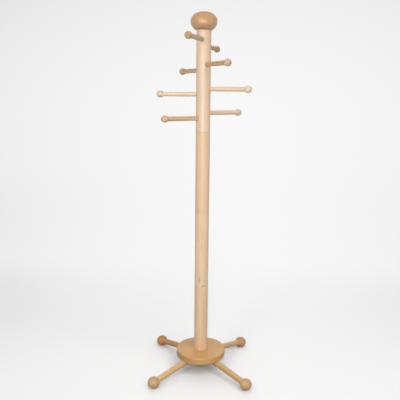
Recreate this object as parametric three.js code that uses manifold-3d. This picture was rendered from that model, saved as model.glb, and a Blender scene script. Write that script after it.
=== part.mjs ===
// A standing coat rack in turned beech.
//
// A round pole of four sections stands on a round base with four splayed legs that end in balls.
// Eight pegs with ball ends climb the top section in a spiral, as four opposite pairs, and a
// mushroom-shaped finial closes the pole. Millimetres, +Z up. The origin is on the floor, under
// the pole's axis, and the legs point between the X and Y axes.

import * as THREE from "three";
import { mergeVertices } from "three/addons/utils/BufferGeometryUtils.js";
import Module from "manifold-3d";

const wasm = await Module();
wasm.setup();

// ---------------------------------------------------------------- driving dimensions

// Fits: the gap round every piece in its hole, and between two faces that meet.
const CLEARANCE = 0.3;
const DOWEL_CHAMFER = 1;

// Feet and legs
const LEG_COUNT = 4;
const FIRST_LEG_AZIMUTH = 45;
const FOOT_REACH = 319;           // pole axis to foot ball centre
const FOOT_BALL_DIAMETER = 60;
const FOOT_BALL_HEIGHT = 55;      // of the whole oval, before its flat is cut
const FOOT_FLAT_DIAMETER = 14;    // small flat that the ball stands on
const FOOT_SOCKET_DEPTH = 20;
const LEG_DIAMETER = 30;
const LEG_SLOPE = 8.8;            // degrees that a leg rises towards the pole
const LEG_AXIS_BELOW_DISC = 11.1; // at the rim, the leg's axis lies this far under the disc

// Base: a wide disc on a smaller hub, which clamp the legs between them
const DISC_DIAMETER = 254;
const DISC_THICKNESS = 35;
const DISC_EDGE_ROUND = 5.5;
const HUB_DIAMETER = 160;
const HUB_THICKNESS = 28;
const HUB_EDGE_ROUND = 3;
const SPIGOT_DIAMETER = 40;       // the pole's foot, inside the disc
const BASE_WEB = 12;              // wood between the spigot's hole and the legs' ends

// Pole, with its sections' lengths from joint to joint
const POLE_DIAMETER = 70;
const LOWER_LENGTH = 352;
const LOWER_MIDDLE_LENGTH = 378;
const UPPER_MIDDLE_LENGTH = 406;
const POLE_TOP_ROUND = 3;
const TIGHT_JOINT_CHAMFER = 0.5;
const OPEN_JOINT_CHAMFER = 1.2;   // the joint under the pegs shows as a fine groove

// Pegs on the top section
const PEG_PAIRS = 4;
const PEG_DIAMETER = 22;
const PEG_REACH = 180.7;          // pole surface to knob centre
const PEG_SOCKET_DEPTH = 25;
const PEG_TOP_MARGIN = 44.6;      // pole top to the first peg's axis
const PEG_PAIR_PITCH = 113.3;     // drop from one pair to the next
const PEG_OPPOSITE_DROP = 25.3;   // the second peg of a pair sits lower by this
const PEG_BOTTOM_MARGIN = 66.2;   // last peg's axis to the joint below
const FIRST_PEG_AZIMUTH = -107.3;
const PEG_PAIR_TURN = 47.75;
const KNOB_DIAMETER = 34;
const KNOB_LENGTH = 37;           // of the whole oval, along the peg
const KNOB_SOCKET_PAST_CENTRE = 3;

// Finial
const FINIAL_DIAMETER = 126.6;
const FINIAL_CROWN = 45.6;        // widest level up to the top
const FINIAL_CROWN_FULLNESS = 2.15;
const FINIAL_UNDERSIDE = 37.1;    // widest level down to the pole
const FINIAL_UNDERSIDE_CURVE = 49; // half height of the ellipse that the underside follows
const FINIAL_DOWEL_DIAMETER = 20;
const FINIAL_DOWEL_GRIP = 28;     // length of the dowel in each piece

// Hardware: screw joints between the sections, and one screw up through the base
const BOLT_DIAMETER = 10;
const JOINT_BOLT_GRIP = 45;       // length of the double-ended bolt in each section
const INSERT_DIAMETER = 16;
const INSERT_LENGTH = 25;
const BASE_SCREW_LENGTH = 60;     // under the head
const BASE_SCREW_HEAD_DIAMETER = 16;
const BASE_SCREW_HEAD_HEIGHT = 10;
const HEX_KEY_WIDTH = 8;
const HEX_SOCKET_DEPTH = 5;
const WASHER_DIAMETER = 30;
const WASHER_THICKNESS = 2;
const SCREW_RECESS_DIAMETER = 33;
const SCREW_RECESS_DEPTH = 14;
const METAL_CHAMFER = 0.8;

// Facets round each kind of turned piece
const WIDE_SIDES = 48;
const POLE_SIDES = 36;
const BALL_SIDES = 24;
const DOWEL_SIDES = 16;
const METAL_SIDES = 12;

// Steps along the curves of the profiles
const EDGE_STEPS = 4;
const BALL_STEPS = 4;
const FINIAL_STEPS = 7;

// ---------------------------------------------------------------- sizes that follow

const poleRadius = POLE_DIAMETER / 2;
const discRadius = DISC_DIAMETER / 2;
const footRadius = FOOT_BALL_DIAMETER / 2;
const boltHoleRadius = BOLT_DIAMETER / 2 + CLEARANCE;
const insertHoleRadius = INSERT_DIAMETER / 2 + CLEARANCE;
const insertHoleDepth = INSERT_LENGTH + 2 * CLEARANCE;
const jointHoleDepth = JOINT_BOLT_GRIP + CLEARANCE;

const legSlope = THREE.MathUtils.degToRad(LEG_SLOPE);
const footFlatAngle = Math.acos(FOOT_FLAT_DIAMETER / FOOT_BALL_DIAMETER);
const footHeight = FOOT_BALL_HEIGHT / 2 * Math.sin(footFlatAngle);
const legAxisAtRim = footHeight + (FOOT_REACH - discRadius) * Math.tan(legSlope);
const discBottom = legAxisAtRim + LEG_AXIS_BELOW_DISC;
const discTop = discBottom + DISC_THICKNESS;
const hubBottom = discBottom - HUB_THICKNESS;

const upperLength = PEG_TOP_MARGIN + (PEG_PAIRS - 1) * PEG_PAIR_PITCH + PEG_OPPOSITE_DROP
  + PEG_BOTTOM_MARGIN;
const lowerJoint = discTop + LOWER_LENGTH;
const middleJoint = lowerJoint + LOWER_MIDDLE_LENGTH;
const upperJoint = middleJoint + UPPER_MIDDLE_LENGTH;
const poleTop = upperJoint + upperLength;

const pegTip = poleRadius + PEG_REACH + KNOB_SOCKET_PAST_CENTRE - CLEARANCE;
const pegRoot = poleRadius - PEG_SOCKET_DEPTH;

// Along a leg, distances run from the foot ball's centre towards the pole.
const legMouth = footRadius * Math.sqrt(1 - (LEG_DIAMETER / FOOT_BALL_HEIGHT) ** 2);
const legOuterEnd = legMouth - FOOT_SOCKET_DEPTH;
const legInnerEnd = (FOOT_REACH - SPIGOT_DIAMETER / 2 - BASE_WEB) / Math.cos(legSlope);

const recessTop = hubBottom + SCREW_RECESS_DEPTH;
const washerBottom = recessTop - CLEARANCE - WASHER_THICKNESS;
const screwSeat = washerBottom - CLEARANCE;
const screwTip = screwSeat + BASE_SCREW_LENGTH;
const spigotBottom = discBottom + CLEARANCE;

// ---------------------------------------------------------------- making shapes

// Turns a profile of [radius, height] points, listed from the bottom up, about the Z axis.
function turned(points, sides) {
  const profile = points.map(([radius, height]) => new THREE.Vector2(radius, height));
  const geometry = new THREE.LatheGeometry(profile, sides);
  geometry.rotateX(Math.PI / 2);
  return geometry;
}

// Points along an arc of a profile, from one angle to another in degrees.
function arc(centreRadius, centreHeight, size, from, to, steps) {
  const points = [];
  for (let i = 0; i <= steps; i += 1) {
    const angle = THREE.MathUtils.degToRad(from + (to - from) * i / steps);
    points.push([centreRadius + size * Math.cos(angle), centreHeight + size * Math.sin(angle)]);
  }
  return points;
}

// The profile of an oval ball on the axis: a round ball's, from an angle below its widest level
// up to its top, stretched or squashed along the axis.
function ovalArc(centreHeight, diameter, fullHeight, from) {
  const round = [
    ...arc(0, 0, diameter / 2, from, 0, BALL_STEPS).slice(0, -1),
    ...arc(0, 0, diameter / 2, 0, 90, BALL_STEPS),
  ];
  return round.map(([radius, height]) => [radius, centreHeight + height * fullHeight / diameter]);
}

// A round bar with chamfered ends, from one height to another.
function bar(diameter, bottom, top, chamfer, sides) {
  const radius = diameter / 2;
  return turned([
    [0, bottom],
    [radius - chamfer, bottom],
    [radius, bottom + chamfer],
    [radius, top - chamfer],
    [radius - chamfer, top],
    [0, top],
  ], sides);
}

// A plain cylinder for cutting a round hole, a clearance wider than what goes into it.
function holeCutter(diameter, bottom, top) {
  const radius = diameter / 2 + CLEARANCE;
  return turned([[0, bottom], [radius, bottom], [radius, top], [0, top]], DOWEL_SIDES);
}

// The solid of a closed geometry, with its shared corners merged and its slivers dropped.
function solidOf(geometry) {
  const bare = geometry.clone();
  bare.deleteAttribute("normal");
  bare.deleteAttribute("uv");
  const merged = mergeVertices(bare);
  const corners = merged.index.array;
  const kept = [];
  for (let i = 0; i < corners.length; i += 3) {
    const [a, b, c] = corners.slice(i, i + 3);
    if (a !== b && b !== c && c !== a) kept.push(a, b, c);
  }
  return new wasm.Manifold(new wasm.Mesh({
    numProp: 3,
    vertProperties: new Float32Array(merged.attributes.position.array),
    triVerts: new Uint32Array(kept),
  }));
}

function geometryOf(solid) {
  const mesh = solid.getMesh();
  const geometry = new THREE.BufferGeometry();
  geometry.setAttribute("position", new THREE.BufferAttribute(mesh.vertProperties, 3));
  geometry.setIndex(new THREE.BufferAttribute(mesh.triVerts, 1));
  geometry.computeVertexNormals();
  return geometry;
}

// Cuts every cutter out of a blank.
function cut(blank, cutters) {
  let solid = solidOf(blank);
  for (const cutter of cutters) solid = solid.subtract(solidOf(cutter));
  return geometryOf(solid);
}

// ---------------------------------------------------------------- finishes

function finish(color, roughness, metalness) {
  return { color, roughness, metalness };
}

const poleUpperWood = finish(0xebceb1, 0.5, 0);
const poleMiddleWood = finish(0xe7c7a3, 0.5, 0);
const poleLowerWood = finish(0xd5b083, 0.5, 0);
const finialWood = finish(0xcd9b6e, 0.45, 0);
const discWood = finish(0xd0a46e, 0.5, 0);
const legWood = finish(0xd7aa73, 0.5, 0);
const footWood = finish(0xd2a56e, 0.5, 0);
const pegWood = finish(0xe1af82, 0.5, 0);
const steel = finish(0xb4b6b8, 0.35, 1);

const rack = new THREE.Group();

function place(name, geometry, look, frame) {
  const mesh = new THREE.Mesh(geometry, new THREE.MeshStandardMaterial(look));
  mesh.name = name;
  if (frame) mesh.applyMatrix4(frame);
  rack.add(mesh);
}

// ---------------------------------------------------------------- feet and legs

// From the floor under a foot ball to the leg's own frame: its origin is the ball's centre and
// its +Z runs up the leg towards the pole.
const legTilt = new THREE.Matrix4().makeTranslation(0, 0, footHeight)
  .multiply(new THREE.Matrix4().makeRotationY(legSlope - Math.PI / 2));

// Frame of a foot ball: its origin is on the floor under the ball, its +X points outwards.
function footFrame(index) {
  const azimuth = THREE.MathUtils.degToRad(FIRST_LEG_AZIMUTH + index * 360 / LEG_COUNT);
  return new THREE.Matrix4().makeRotationZ(azimuth)
    .multiply(new THREE.Matrix4().makeTranslation(FOOT_REACH, 0, 0));
}

function footBall() {
  const from = -THREE.MathUtils.radToDeg(footFlatAngle);
  const ball = turned([
    [0, 0],
    ...ovalArc(footHeight, FOOT_BALL_DIAMETER, FOOT_BALL_HEIGHT, from),
  ], BALL_SIDES);
  const socket = holeCutter(LEG_DIAMETER, legOuterEnd - CLEARANCE, FOOT_BALL_DIAMETER);
  return cut(ball, [socket.applyMatrix4(legTilt)]);
}

function addLegs() {
  for (let i = 0; i < LEG_COUNT; i += 1) {
    const leg = bar(LEG_DIAMETER, legOuterEnd, legInnerEnd, DOWEL_CHAMFER, DOWEL_SIDES);
    place(`leg_${i + 1}`, leg, legWood, footFrame(i).multiply(legTilt));
    place(`foot_ball_${i + 1}`, footBall(), footWood, footFrame(i));
  }
}

// The four leg holes, wherever they meet the base.
function legCutters() {
  const cutters = [];
  for (let i = 0; i < LEG_COUNT; i += 1) {
    const cutter = holeCutter(LEG_DIAMETER, 0, legInnerEnd + CLEARANCE);
    cutters.push(cutter.applyMatrix4(footFrame(i).multiply(legTilt)));
  }
  return cutters;
}

// ---------------------------------------------------------------- base

function baseDisc() {
  const bore = SPIGOT_DIAMETER / 2 + CLEARANCE;
  const edge = discRadius - DISC_EDGE_ROUND;
  const blank = turned([
    [bore, discBottom],
    ...arc(edge, discBottom + DISC_EDGE_ROUND, DISC_EDGE_ROUND, -90, 0, EDGE_STEPS),
    ...arc(edge, discTop - DISC_EDGE_ROUND, DISC_EDGE_ROUND, 0, 90, EDGE_STEPS),
    [bore, discTop],
    [bore, discBottom],
  ], WIDE_SIDES);
  return cut(blank, legCutters());
}

function baseHub() {
  const hubTop = discBottom - CLEARANCE;
  const edge = HUB_DIAMETER / 2 - HUB_EDGE_ROUND;
  const blank = turned([
    [SCREW_RECESS_DIAMETER / 2, hubBottom],
    ...arc(edge, hubBottom + HUB_EDGE_ROUND, HUB_EDGE_ROUND, -90, 0, EDGE_STEPS),
    [HUB_DIAMETER / 2, hubTop],
    [boltHoleRadius, hubTop],
    [boltHoleRadius, recessTop],
    [SCREW_RECESS_DIAMETER / 2, recessTop],
    [SCREW_RECESS_DIAMETER / 2, hubBottom],
  ], POLE_SIDES);
  return cut(blank, legCutters());
}

function baseScrew() {
  const head = BASE_SCREW_HEAD_DIAMETER / 2;
  const headBottom = screwSeat - BASE_SCREW_HEAD_HEIGHT;
  const shank = BOLT_DIAMETER / 2;
  const blank = turned([
    [0, headBottom],
    [head - METAL_CHAMFER, headBottom],
    [head, headBottom + METAL_CHAMFER],
    [head, screwSeat],
    [shank, screwSeat],
    [shank, screwTip - METAL_CHAMFER],
    [shank - METAL_CHAMFER, screwTip],
    [0, screwTip],
  ], METAL_SIDES);
  const key = new THREE.CylinderGeometry(
    HEX_KEY_WIDTH / Math.sqrt(3), HEX_KEY_WIDTH / Math.sqrt(3), 2 * HEX_SOCKET_DEPTH, 6);
  key.rotateX(Math.PI / 2);
  key.translate(0, 0, headBottom);
  return cut(blank, [key]);
}

function ring(outerDiameter, bottom, top) {
  return turned([
    [boltHoleRadius, bottom],
    [outerDiameter / 2, bottom],
    [outerDiameter / 2, top],
    [boltHoleRadius, top],
    [boltHoleRadius, bottom],
  ], DOWEL_SIDES);
}

function addBase() {
  const insertBottom = spigotBottom + CLEARANCE;
  place("base_disc", baseDisc(), discWood);
  place("base_hub", baseHub(), discWood);
  place("base_washer", ring(WASHER_DIAMETER, washerBottom, washerBottom + WASHER_THICKNESS), steel);
  place("base_screw", baseScrew(), steel);
  place("base_insert", ring(INSERT_DIAMETER, insertBottom, insertBottom + INSERT_LENGTH), steel);
}

// ---------------------------------------------------------------- pole

// The lower end of a section that stands on a joint: a chamfered face with the hole for the
// joint's bolt and insert.
function jointEnd(joint, chamfer) {
  return [
    [0, joint + jointHoleDepth],
    [boltHoleRadius, joint + jointHoleDepth],
    [boltHoleRadius, joint + insertHoleDepth],
    [insertHoleRadius, joint + insertHoleDepth],
    [insertHoleRadius, joint],
    [poleRadius - chamfer, joint],
    [poleRadius, joint + chamfer],
  ];
}

// The upper end of a section under a joint: a chamfered face with the bolt's hole.
function jointHead(joint, chamfer) {
  const face = joint - CLEARANCE;
  return [
    [poleRadius, face - chamfer],
    [poleRadius - chamfer, face],
    [boltHoleRadius, face],
    [boltHoleRadius, joint - jointHoleDepth],
    [0, joint - jointHoleDepth],
  ];
}

// The lowest end: a spigot for the disc's bore, with the hole for the base's screw and insert.
function spigotEnd() {
  const spigot = SPIGOT_DIAMETER / 2;
  const insertTop = spigotBottom + insertHoleDepth;
  const holeTop = Math.max(screwTip, insertTop) + CLEARANCE;
  return [
    [0, holeTop],
    [boltHoleRadius, holeTop],
    [boltHoleRadius, insertTop],
    [insertHoleRadius, insertTop],
    [insertHoleRadius, spigotBottom],
    [spigot - DOWEL_CHAMFER, spigotBottom],
    [spigot, spigotBottom + DOWEL_CHAMFER],
    [spigot, discTop + CLEARANCE],
    [poleRadius, discTop + CLEARANCE],
  ];
}

// The top end: a rounded edge and the hole for the finial's dowel.
function topEnd() {
  const dowelHole = FINIAL_DOWEL_DIAMETER / 2 + CLEARANCE;
  const holeBottom = poleTop - FINIAL_DOWEL_GRIP - CLEARANCE;
  return [
    ...arc(poleRadius - POLE_TOP_ROUND, poleTop - POLE_TOP_ROUND, POLE_TOP_ROUND, 0, 90,
      EDGE_STEPS),
    [dowelHole, poleTop],
    [dowelHole, holeBottom],
    [0, holeBottom],
  ];
}

function addPole() {
  const tight = TIGHT_JOINT_CHAMFER;
  const open = OPEN_JOINT_CHAMFER;
  const lower = [...spigotEnd(), ...jointHead(lowerJoint, tight)];
  const lowerMiddle = [...jointEnd(lowerJoint, tight), ...jointHead(middleJoint, tight)];
  const upperMiddle = [...jointEnd(middleJoint, tight), ...jointHead(upperJoint, open)];
  const upper = [...jointEnd(upperJoint, open), ...topEnd()];
  place("pole_lower", turned(lower, POLE_SIDES), poleLowerWood);
  place("pole_lower_middle", turned(lowerMiddle, POLE_SIDES), poleLowerWood);
  place("pole_upper_middle", turned(upperMiddle, POLE_SIDES), poleMiddleWood);
  place("pole_upper", cut(turned(upper, POLE_SIDES), pegCutters()), poleUpperWood);
}

// At each joint a double-ended bolt grips both sections, and an insert holds it in the upper one.
function addJoints() {
  const joints = { lower: lowerJoint, middle: middleJoint, upper: upperJoint };
  for (const [name, height] of Object.entries(joints)) {
    const bolt = bar(BOLT_DIAMETER, height - JOINT_BOLT_GRIP, height + JOINT_BOLT_GRIP,
      METAL_CHAMFER, METAL_SIDES);
    const insertBottom = height + CLEARANCE;
    place(`${name}_joint_bolt`, bolt, steel);
    place(`${name}_joint_insert`, ring(INSERT_DIAMETER, insertBottom, insertBottom + INSERT_LENGTH),
      steel);
  }
}

// ---------------------------------------------------------------- pegs

// Frame of a peg: its origin is on the pole's axis and its +Z runs out along the peg.
// Even numbers are the upper pegs of the pairs and odd numbers their opposites.
function pegFrame(index) {
  const pair = Math.floor(index / 2);
  const opposite = index % 2;
  const azimuth = FIRST_PEG_AZIMUTH + pair * PEG_PAIR_TURN + opposite * 180;
  const height = poleTop - PEG_TOP_MARGIN - pair * PEG_PAIR_PITCH - opposite * PEG_OPPOSITE_DROP;
  return new THREE.Matrix4().makeTranslation(0, 0, height)
    .multiply(new THREE.Matrix4().makeRotationZ(THREE.MathUtils.degToRad(azimuth)))
    .multiply(new THREE.Matrix4().makeRotationY(Math.PI / 2));
}

function pegCutters() {
  const cutters = [];
  for (let i = 0; i < 2 * PEG_PAIRS; i += 1) {
    const cutter = holeCutter(PEG_DIAMETER, pegRoot - CLEARANCE, POLE_DIAMETER);
    cutters.push(cutter.applyMatrix4(pegFrame(i)));
  }
  return cutters;
}

// An oval ball with a blind socket for the peg, on the peg's axis.
function knob() {
  const centre = poleRadius + PEG_REACH;
  const socket = PEG_DIAMETER / 2 + CLEARANCE;
  const mouthAngle = THREE.MathUtils.radToDeg(Math.acos(2 * socket / KNOB_DIAMETER));
  const socketEnd = centre + KNOB_SOCKET_PAST_CENTRE;
  return turned([
    [0, socketEnd],
    [socket, socketEnd],
    ...ovalArc(centre, KNOB_DIAMETER, KNOB_LENGTH, -mouthAngle),
  ], BALL_SIDES);
}

function addPegs() {
  for (let i = 0; i < 2 * PEG_PAIRS; i += 1) {
    const peg = bar(PEG_DIAMETER, pegRoot, pegTip, DOWEL_CHAMFER, DOWEL_SIDES);
    place(`peg_${i + 1}`, peg, pegWood, pegFrame(i));
    place(`knob_${i + 1}`, knob(), pegWood, pegFrame(i));
  }
}

// ---------------------------------------------------------------- finial

// The underside follows an ellipse that is cut flat on the pole, and the crown is a little
// fuller than an ellipse.
function finialBall() {
  const radius = FINIAL_DIAMETER / 2;
  const centre = poleTop + CLEARANCE + FINIAL_UNDERSIDE;
  const bottom = poleTop + CLEARANCE;
  const dowelHole = FINIAL_DOWEL_DIAMETER / 2 + CLEARANCE;
  const holeTop = poleTop + FINIAL_DOWEL_GRIP + CLEARANCE;
  const undersideStart = Math.asin(FINIAL_UNDERSIDE / FINIAL_UNDERSIDE_CURVE);
  const underside = [];
  for (let i = 0; i < FINIAL_STEPS; i += 1) {
    const angle = undersideStart * (1 - i / FINIAL_STEPS);
    underside.push([
      radius * Math.cos(angle),
      centre - FINIAL_UNDERSIDE_CURVE * Math.sin(angle),
    ]);
  }
  const crown = [];
  for (let i = 0; i < FINIAL_STEPS; i += 1) {
    const angle = (Math.PI / 2) * (i / FINIAL_STEPS);
    crown.push([
      radius * Math.cos(angle) ** (2 / FINIAL_CROWN_FULLNESS),
      centre + FINIAL_CROWN * Math.sin(angle) ** (2 / FINIAL_CROWN_FULLNESS),
    ]);
  }
  return turned([
    [0, holeTop],
    [dowelHole, holeTop],
    [dowelHole, bottom],
    ...underside,
    ...crown,
    [0, centre + FINIAL_CROWN],
  ], POLE_SIDES);
}

function addFinial() {
  const dowel = bar(FINIAL_DOWEL_DIAMETER, poleTop - FINIAL_DOWEL_GRIP,
    poleTop + FINIAL_DOWEL_GRIP, DOWEL_CHAMFER, DOWEL_SIDES);
  place("finial_dowel", dowel, pegWood);
  place("finial", finialBall(), finialWood);
}

addLegs();
addBase();
addPole();
addJoints();
addPegs();
addFinial();

export default rack;
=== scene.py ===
# %% [markdown]
# # A coat rack from the lathe
#
# This lesson finishes a standing coat rack in beech. Its solid pieces exist already, as plain
# faceted parts at their real size. They are loaded first and never moved, and they say where
# everything goes.
#
# Nearly every piece of this rack was made on a lathe: the pole's four sections, the pegs and
# their ball ends, the disc at the base, the legs, the foot balls and the finial. So the lesson
# builds a lathe of its own in Geometry Nodes, gives it one profile for each piece, and then works
# on the wood.

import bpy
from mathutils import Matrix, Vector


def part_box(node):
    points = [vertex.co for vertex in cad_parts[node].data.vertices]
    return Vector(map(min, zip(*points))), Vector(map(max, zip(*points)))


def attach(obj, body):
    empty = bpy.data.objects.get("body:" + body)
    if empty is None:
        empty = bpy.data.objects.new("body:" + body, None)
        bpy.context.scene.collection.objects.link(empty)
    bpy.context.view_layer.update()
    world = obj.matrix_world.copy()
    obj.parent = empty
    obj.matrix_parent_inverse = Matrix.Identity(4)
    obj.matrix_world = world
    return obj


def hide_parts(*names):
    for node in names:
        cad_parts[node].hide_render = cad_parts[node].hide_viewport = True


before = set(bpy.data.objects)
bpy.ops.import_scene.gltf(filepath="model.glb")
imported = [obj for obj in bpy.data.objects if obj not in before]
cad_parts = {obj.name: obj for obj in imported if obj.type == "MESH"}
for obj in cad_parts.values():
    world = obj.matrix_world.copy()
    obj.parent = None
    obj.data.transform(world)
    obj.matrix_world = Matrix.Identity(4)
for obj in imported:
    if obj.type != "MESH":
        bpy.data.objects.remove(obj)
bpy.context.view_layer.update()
print("pieces in the frame:", len(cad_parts))

# %% Libraries and units
import math
import random
from collections import namedtuple

import bpy
from mathutils import Matrix, Vector

MM = 0.001
UP = Vector((0, 0, 1))

# %% [markdown]
# ## The camera
#
# The camera stands at about the height of a person's eyes, a good two and a half metres from the
# pole, and looks slightly down. A lens a little shorter than 50 mm takes in the whole rack. The
# camera could be aimed with a constraint, but three turns written out are easier to read back: a
# turn about the vertical, a tilt, and a very small roll.

# %% Camera
CAMERA_DISTANCE = 2.5777
CAMERA_AZIMUTH = -89.107
CAMERA_HEIGHT = 1.4181
CAMERA_TURN = 1.137
CAMERA_TILT = 11.373
CAMERA_ROLL = 0.5475
CAMERA_LENS = 47.28


def new_object(name, data):
    made = bpy.data.objects.new(name, data)
    bpy.context.scene.collection.objects.link(made)
    return made


def direction(azimuth, elevation=0):
    """A unit vector from angles in degrees."""
    azimuth, elevation = math.radians(azimuth), math.radians(elevation)
    return Vector((
        math.cos(azimuth) * math.cos(elevation),
        math.sin(azimuth) * math.cos(elevation),
        math.sin(elevation),
    ))


def place(azimuth, distance, height):
    """A place by its direction from the pole, its distance from it and its height."""
    return direction(azimuth) * distance + UP * height


def turned_by(degrees, axis):
    return Matrix.Rotation(math.radians(degrees), 4, axis)


def make_camera():
    camera = new_object("camera", bpy.data.cameras.new("camera"))
    camera.data.lens = CAMERA_LENS
    spot = place(CAMERA_AZIMUTH, CAMERA_DISTANCE, CAMERA_HEIGHT)
    aim = turned_by(CAMERA_TURN, "Z") @ turned_by(90 - CAMERA_TILT, "X")
    camera.matrix_world = Matrix.Translation(spot) @ aim @ turned_by(CAMERA_ROLL, "Z")
    bpy.context.scene.camera = camera
    return camera


print("camera at", [round(x, 3) for x in make_camera().matrix_world.translation])

# %% [markdown]
# ## Node trees written as sums
#
# Both the lathe and the wood are node trees, and trees get long when each node and each link is
# written out. One small class makes them short. It wraps a socket, and Python's own operators on
# it add Math nodes, so `1 - mask` is a node like any other. Every other node comes from its one
# method `node`, which takes the node's type, its settings and what its sockets get.

# %% One class for both kinds of tree
def pick(sockets, key):
    """A socket by its number, or the socket in use that has that name."""
    if isinstance(key, int):
        return sockets[key]
    return next(s for s in sockets if s.name == key and not s.is_unavailable)


class Wire:
    """A socket of a node tree, on which Python's operators work."""

    def __init__(self, tree, socket=None):
        self.tree = tree
        self.socket = socket

    def node(self, kind, settings=None, inputs=None, output=0):
        made = self.tree.nodes.new(kind)
        for name, value in (settings or {}).items():
            setattr(made, name, value)
        for key, value in (inputs or {}).items():
            if isinstance(value, Wire):
                self.tree.links.new(value.socket, pick(made.inputs, key))
            else:
                pick(made.inputs, key).default_value = value
        return Wire(self.tree, None if output is None else pick(made.outputs, output))

    def other(self, output):
        """Another output of the node that this wire comes from."""
        return Wire(self.tree, pick(self.socket.node.outputs, output))

    def math(self, operation, *values):
        """A Math node with this wire first."""
        sockets = dict(enumerate((self, *values)))
        return self.node("ShaderNodeMath", {"operation": operation}, sockets)

    def vector(self, operation, other):
        return self.node("ShaderNodeVectorMath", {"operation": operation}, {0: self, 1: other})

    def length(self):
        return self.node("ShaderNodeVectorMath", {"operation": "LENGTH"}, {0: self}, "Value")

    def times(self, vector):
        """A vector or a colour, times this wire's number."""
        return self.node("ShaderNodeVectorMath", {"operation": "SCALE"},
                         {0: vector, "Scale": self})

    def split(self):
        """The three numbers of a vector."""
        x = self.node("ShaderNodeSeparateXYZ", {}, {"Vector": self})
        return x, x.other("Y"), x.other("Z")

    def clamp(self):
        return self.node("ShaderNodeClamp", {}, {"Value": self})

    def __add__(self, other):
        return self.math("ADD", other)

    def __sub__(self, other):
        return self.math("SUBTRACT", other)

    def __rsub__(self, other):
        return self.node("ShaderNodeMath", {"operation": "SUBTRACT"}, {0: other, 1: self})

    def __mul__(self, other):
        return self.math("MULTIPLY", other)

    def __truediv__(self, other):
        return self.math("DIVIDE", other)

    def __pow__(self, other):
        return self.math("POWER", other)

    __radd__ = __add__
    __rmul__ = __mul__

# %% [markdown]
# ## A lathe in Geometry Nodes
#
# A turner holds a gouge against spinning wood, and the path of the tool is the piece's profile.
# Blender could do this with the Screw modifier or with Spin. A Geometry Nodes lathe has two
# advantages: one tree serves every piece, and it can do more than turn. It also cuts threads and
# fine ribs, bores holes, and writes down for every point where it lay in the log, which the wood
# needs later.
#
# The profile is a line of points, with the distance from the axis in X and the height in Z. The
# tree makes a grid with one row of points for each point of the profile. It bends the grid round
# the axis, with its faces outwards, and welds the seam and the poles shut.

# %% Starting a tree
def geometry_tree(name, sizes):
    """A new tree with a geometry input and output. Gives the tree's inputs as wires by name."""
    tree = bpy.data.node_groups.new(name, "GeometryNodeTree")
    sockets = tree.interface
    sockets.new_socket("Geometry", in_out="OUTPUT", socket_type="NodeSocketGeometry")
    sockets.new_socket("Geometry", in_out="INPUT", socket_type="NodeSocketGeometry")
    for label, kind in sizes.items():
        sockets.new_socket(label, in_out="INPUT", socket_type="NodeSocket" + kind)
    entry = tree.nodes.new("NodeGroupInput")
    return tree, {s.name: Wire(tree, s) for s in entry.outputs if s.name}


LATHE_INPUTS = {
    "sides": "Int",
    "thread_pitch": "Float",
    "rib_count": "Int",
    "bored": "Bool",
    "bores": "Object",
    "bore_radius": "Float",
    "bore_sides": "Int",
    "grain": "Rotation",
    "place_in_log": "Vector",
    "tone": "Float",
    "tilt": "Rotation",
    "stand": "Vector",
    "finish": "Material",
}
lathe_tree, lathe = geometry_tree("lathe", LATHE_INPUTS)
print("inputs of the lathe:", ", ".join(lathe))

# %% [markdown]
# The first stage turns the blank. A thread is a wave that climbs one pitch in each turn, so its
# phase is the height divided by the pitch, less the share of the turn. Ribs are the same wave
# round the turn alone. Each point of the profile says how deep the thread and the ribs cut there,
# and most points say nothing.

# %% Stage one: turning
WELD = 0.002 * MM


def named(start, kind, name):
    """An attribute of the points, by its name."""
    return start.node("GeometryNodeInputNamedAttribute", {"data_type": kind}, {"Name": name})


def turning_stage(lathe):
    profile = lathe["Geometry"]
    rows = profile.node("GeometryNodeAttributeDomainSize", {"component": "MESH"},
                        {"Geometry": profile})
    columns = lathe["sides"] + 1
    grid = profile.node("GeometryNodeMeshGrid", {}, {"Vertices X": columns, "Vertices Y": rows})
    number = profile.node("GeometryNodeInputIndex")
    column = (number / rows).math("FLOOR")
    row = number - column * rows
    turn = column / lathe["sides"]

    def on_profile(kind, value):
        return profile.node("GeometryNodeSampleIndex", {"data_type": kind},
                            {"Geometry": profile, "Value": value, "Index": row})

    spot = on_profile("FLOAT_VECTOR", profile.node("GeometryNodeInputPosition"))
    radius, _, height = spot.split()
    thread = on_profile("FLOAT", named(profile, "FLOAT", "thread"))
    ribs = on_profile("FLOAT", named(profile, "FLOAT", "ribs"))
    thread_wave = (height / lathe["thread_pitch"] - turn).math("PINGPONG", 0.5) * 2
    rib_wave = (turn * lathe["rib_count"]).math("PINGPONG", 0.5) * 2
    reach = radius - thread * thread_wave - ribs * rib_wave
    angle = turn * math.tau
    bent = profile.node("ShaderNodeCombineXYZ", {}, {
        "X": reach * angle.math("COSINE"),
        "Y": reach * angle.math("SINE"),
        "Z": height,
    })
    wrapped = grid.node("GeometryNodeSetPosition", {}, {"Geometry": grid, "Position": bent})
    return grid.node("GeometryNodeMergeByDistance", {}, {"Geometry": wrapped, "Distance": WELD})


turned_blank = turning_stage(lathe)
print("nodes after turning:", len(lathe_tree.nodes))

# %% [markdown]
# The second stage bores holes, where a piece has any: for the pegs in the pole, for the legs in
# the base, for the hexagon key in the screw. The bores arrive as an object that is only a few
# edges, one along the middle of each hole. Each edge becomes a bar, and a boolean takes the bars
# away. A boolean can leave slivers with no width, so its points are welded again. How near a point
# lies to a hole is kept, because dirt and old glue gather at the rim, and the wood there also gets
# painted shade where one piece meets another.

# %% Stage two: boring
# how far the dirt and painted shade at a hole's rim reach
HOLE_RIM = 4 * MM


def nearness(solid, target, kind, reach):
    """One on the target, falling to nothing at the reach."""
    gap = solid.node("GeometryNodeProximity", {"target_element": kind}, {"Geometry": target},
                     output="Distance")
    return (1 - gap / reach).clamp()


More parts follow.
